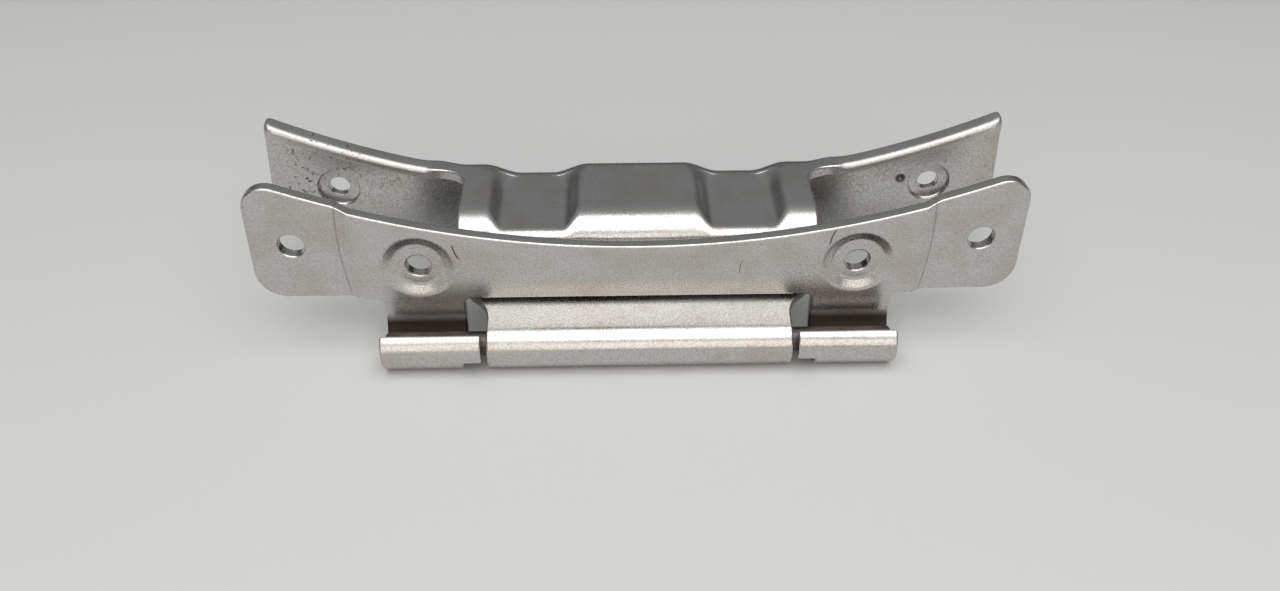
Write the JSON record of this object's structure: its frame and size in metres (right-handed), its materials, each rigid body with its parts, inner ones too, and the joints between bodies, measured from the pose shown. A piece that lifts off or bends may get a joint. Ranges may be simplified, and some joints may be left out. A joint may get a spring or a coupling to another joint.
{
  "type": "washing machine door hinge",
  "caption": "Pressed steel door hinge: a door leaf with rolled hooks turns on a pin held by a cabinet leaf with a channelled bridge.",
  "frame": {"origin": "midway between the two cabinet screw holes, on the rear face that meets the cabinet", "axes": "+X along the pin and the two leaves, +Y back into the cabinet, +Z from the pin towards the screw holes; the hinge is closed"},
  "size_m": [0.1586, 0.0393, 0.0387],
  "materials": {
    "plated_sheet": "zinc plated, satin",
    "plated_pin": "zinc plated, satin"
  },
  "bodies": {
    "cabinet_side": {"rear_leaf": "plated_sheet", "hinge_pin": "plated_pin"},
    "door_side": {"front_leaf": "plated_sheet"}
  },
  "joints": [
    {"name": "door_swing", "type": "hinge", "parent": "cabinet_side", "child": "door_side", "pos_m": [0, -0.0343, -0.017], "axis": [1, 0, 0], "range_deg": [0, 170]}
  ]
}
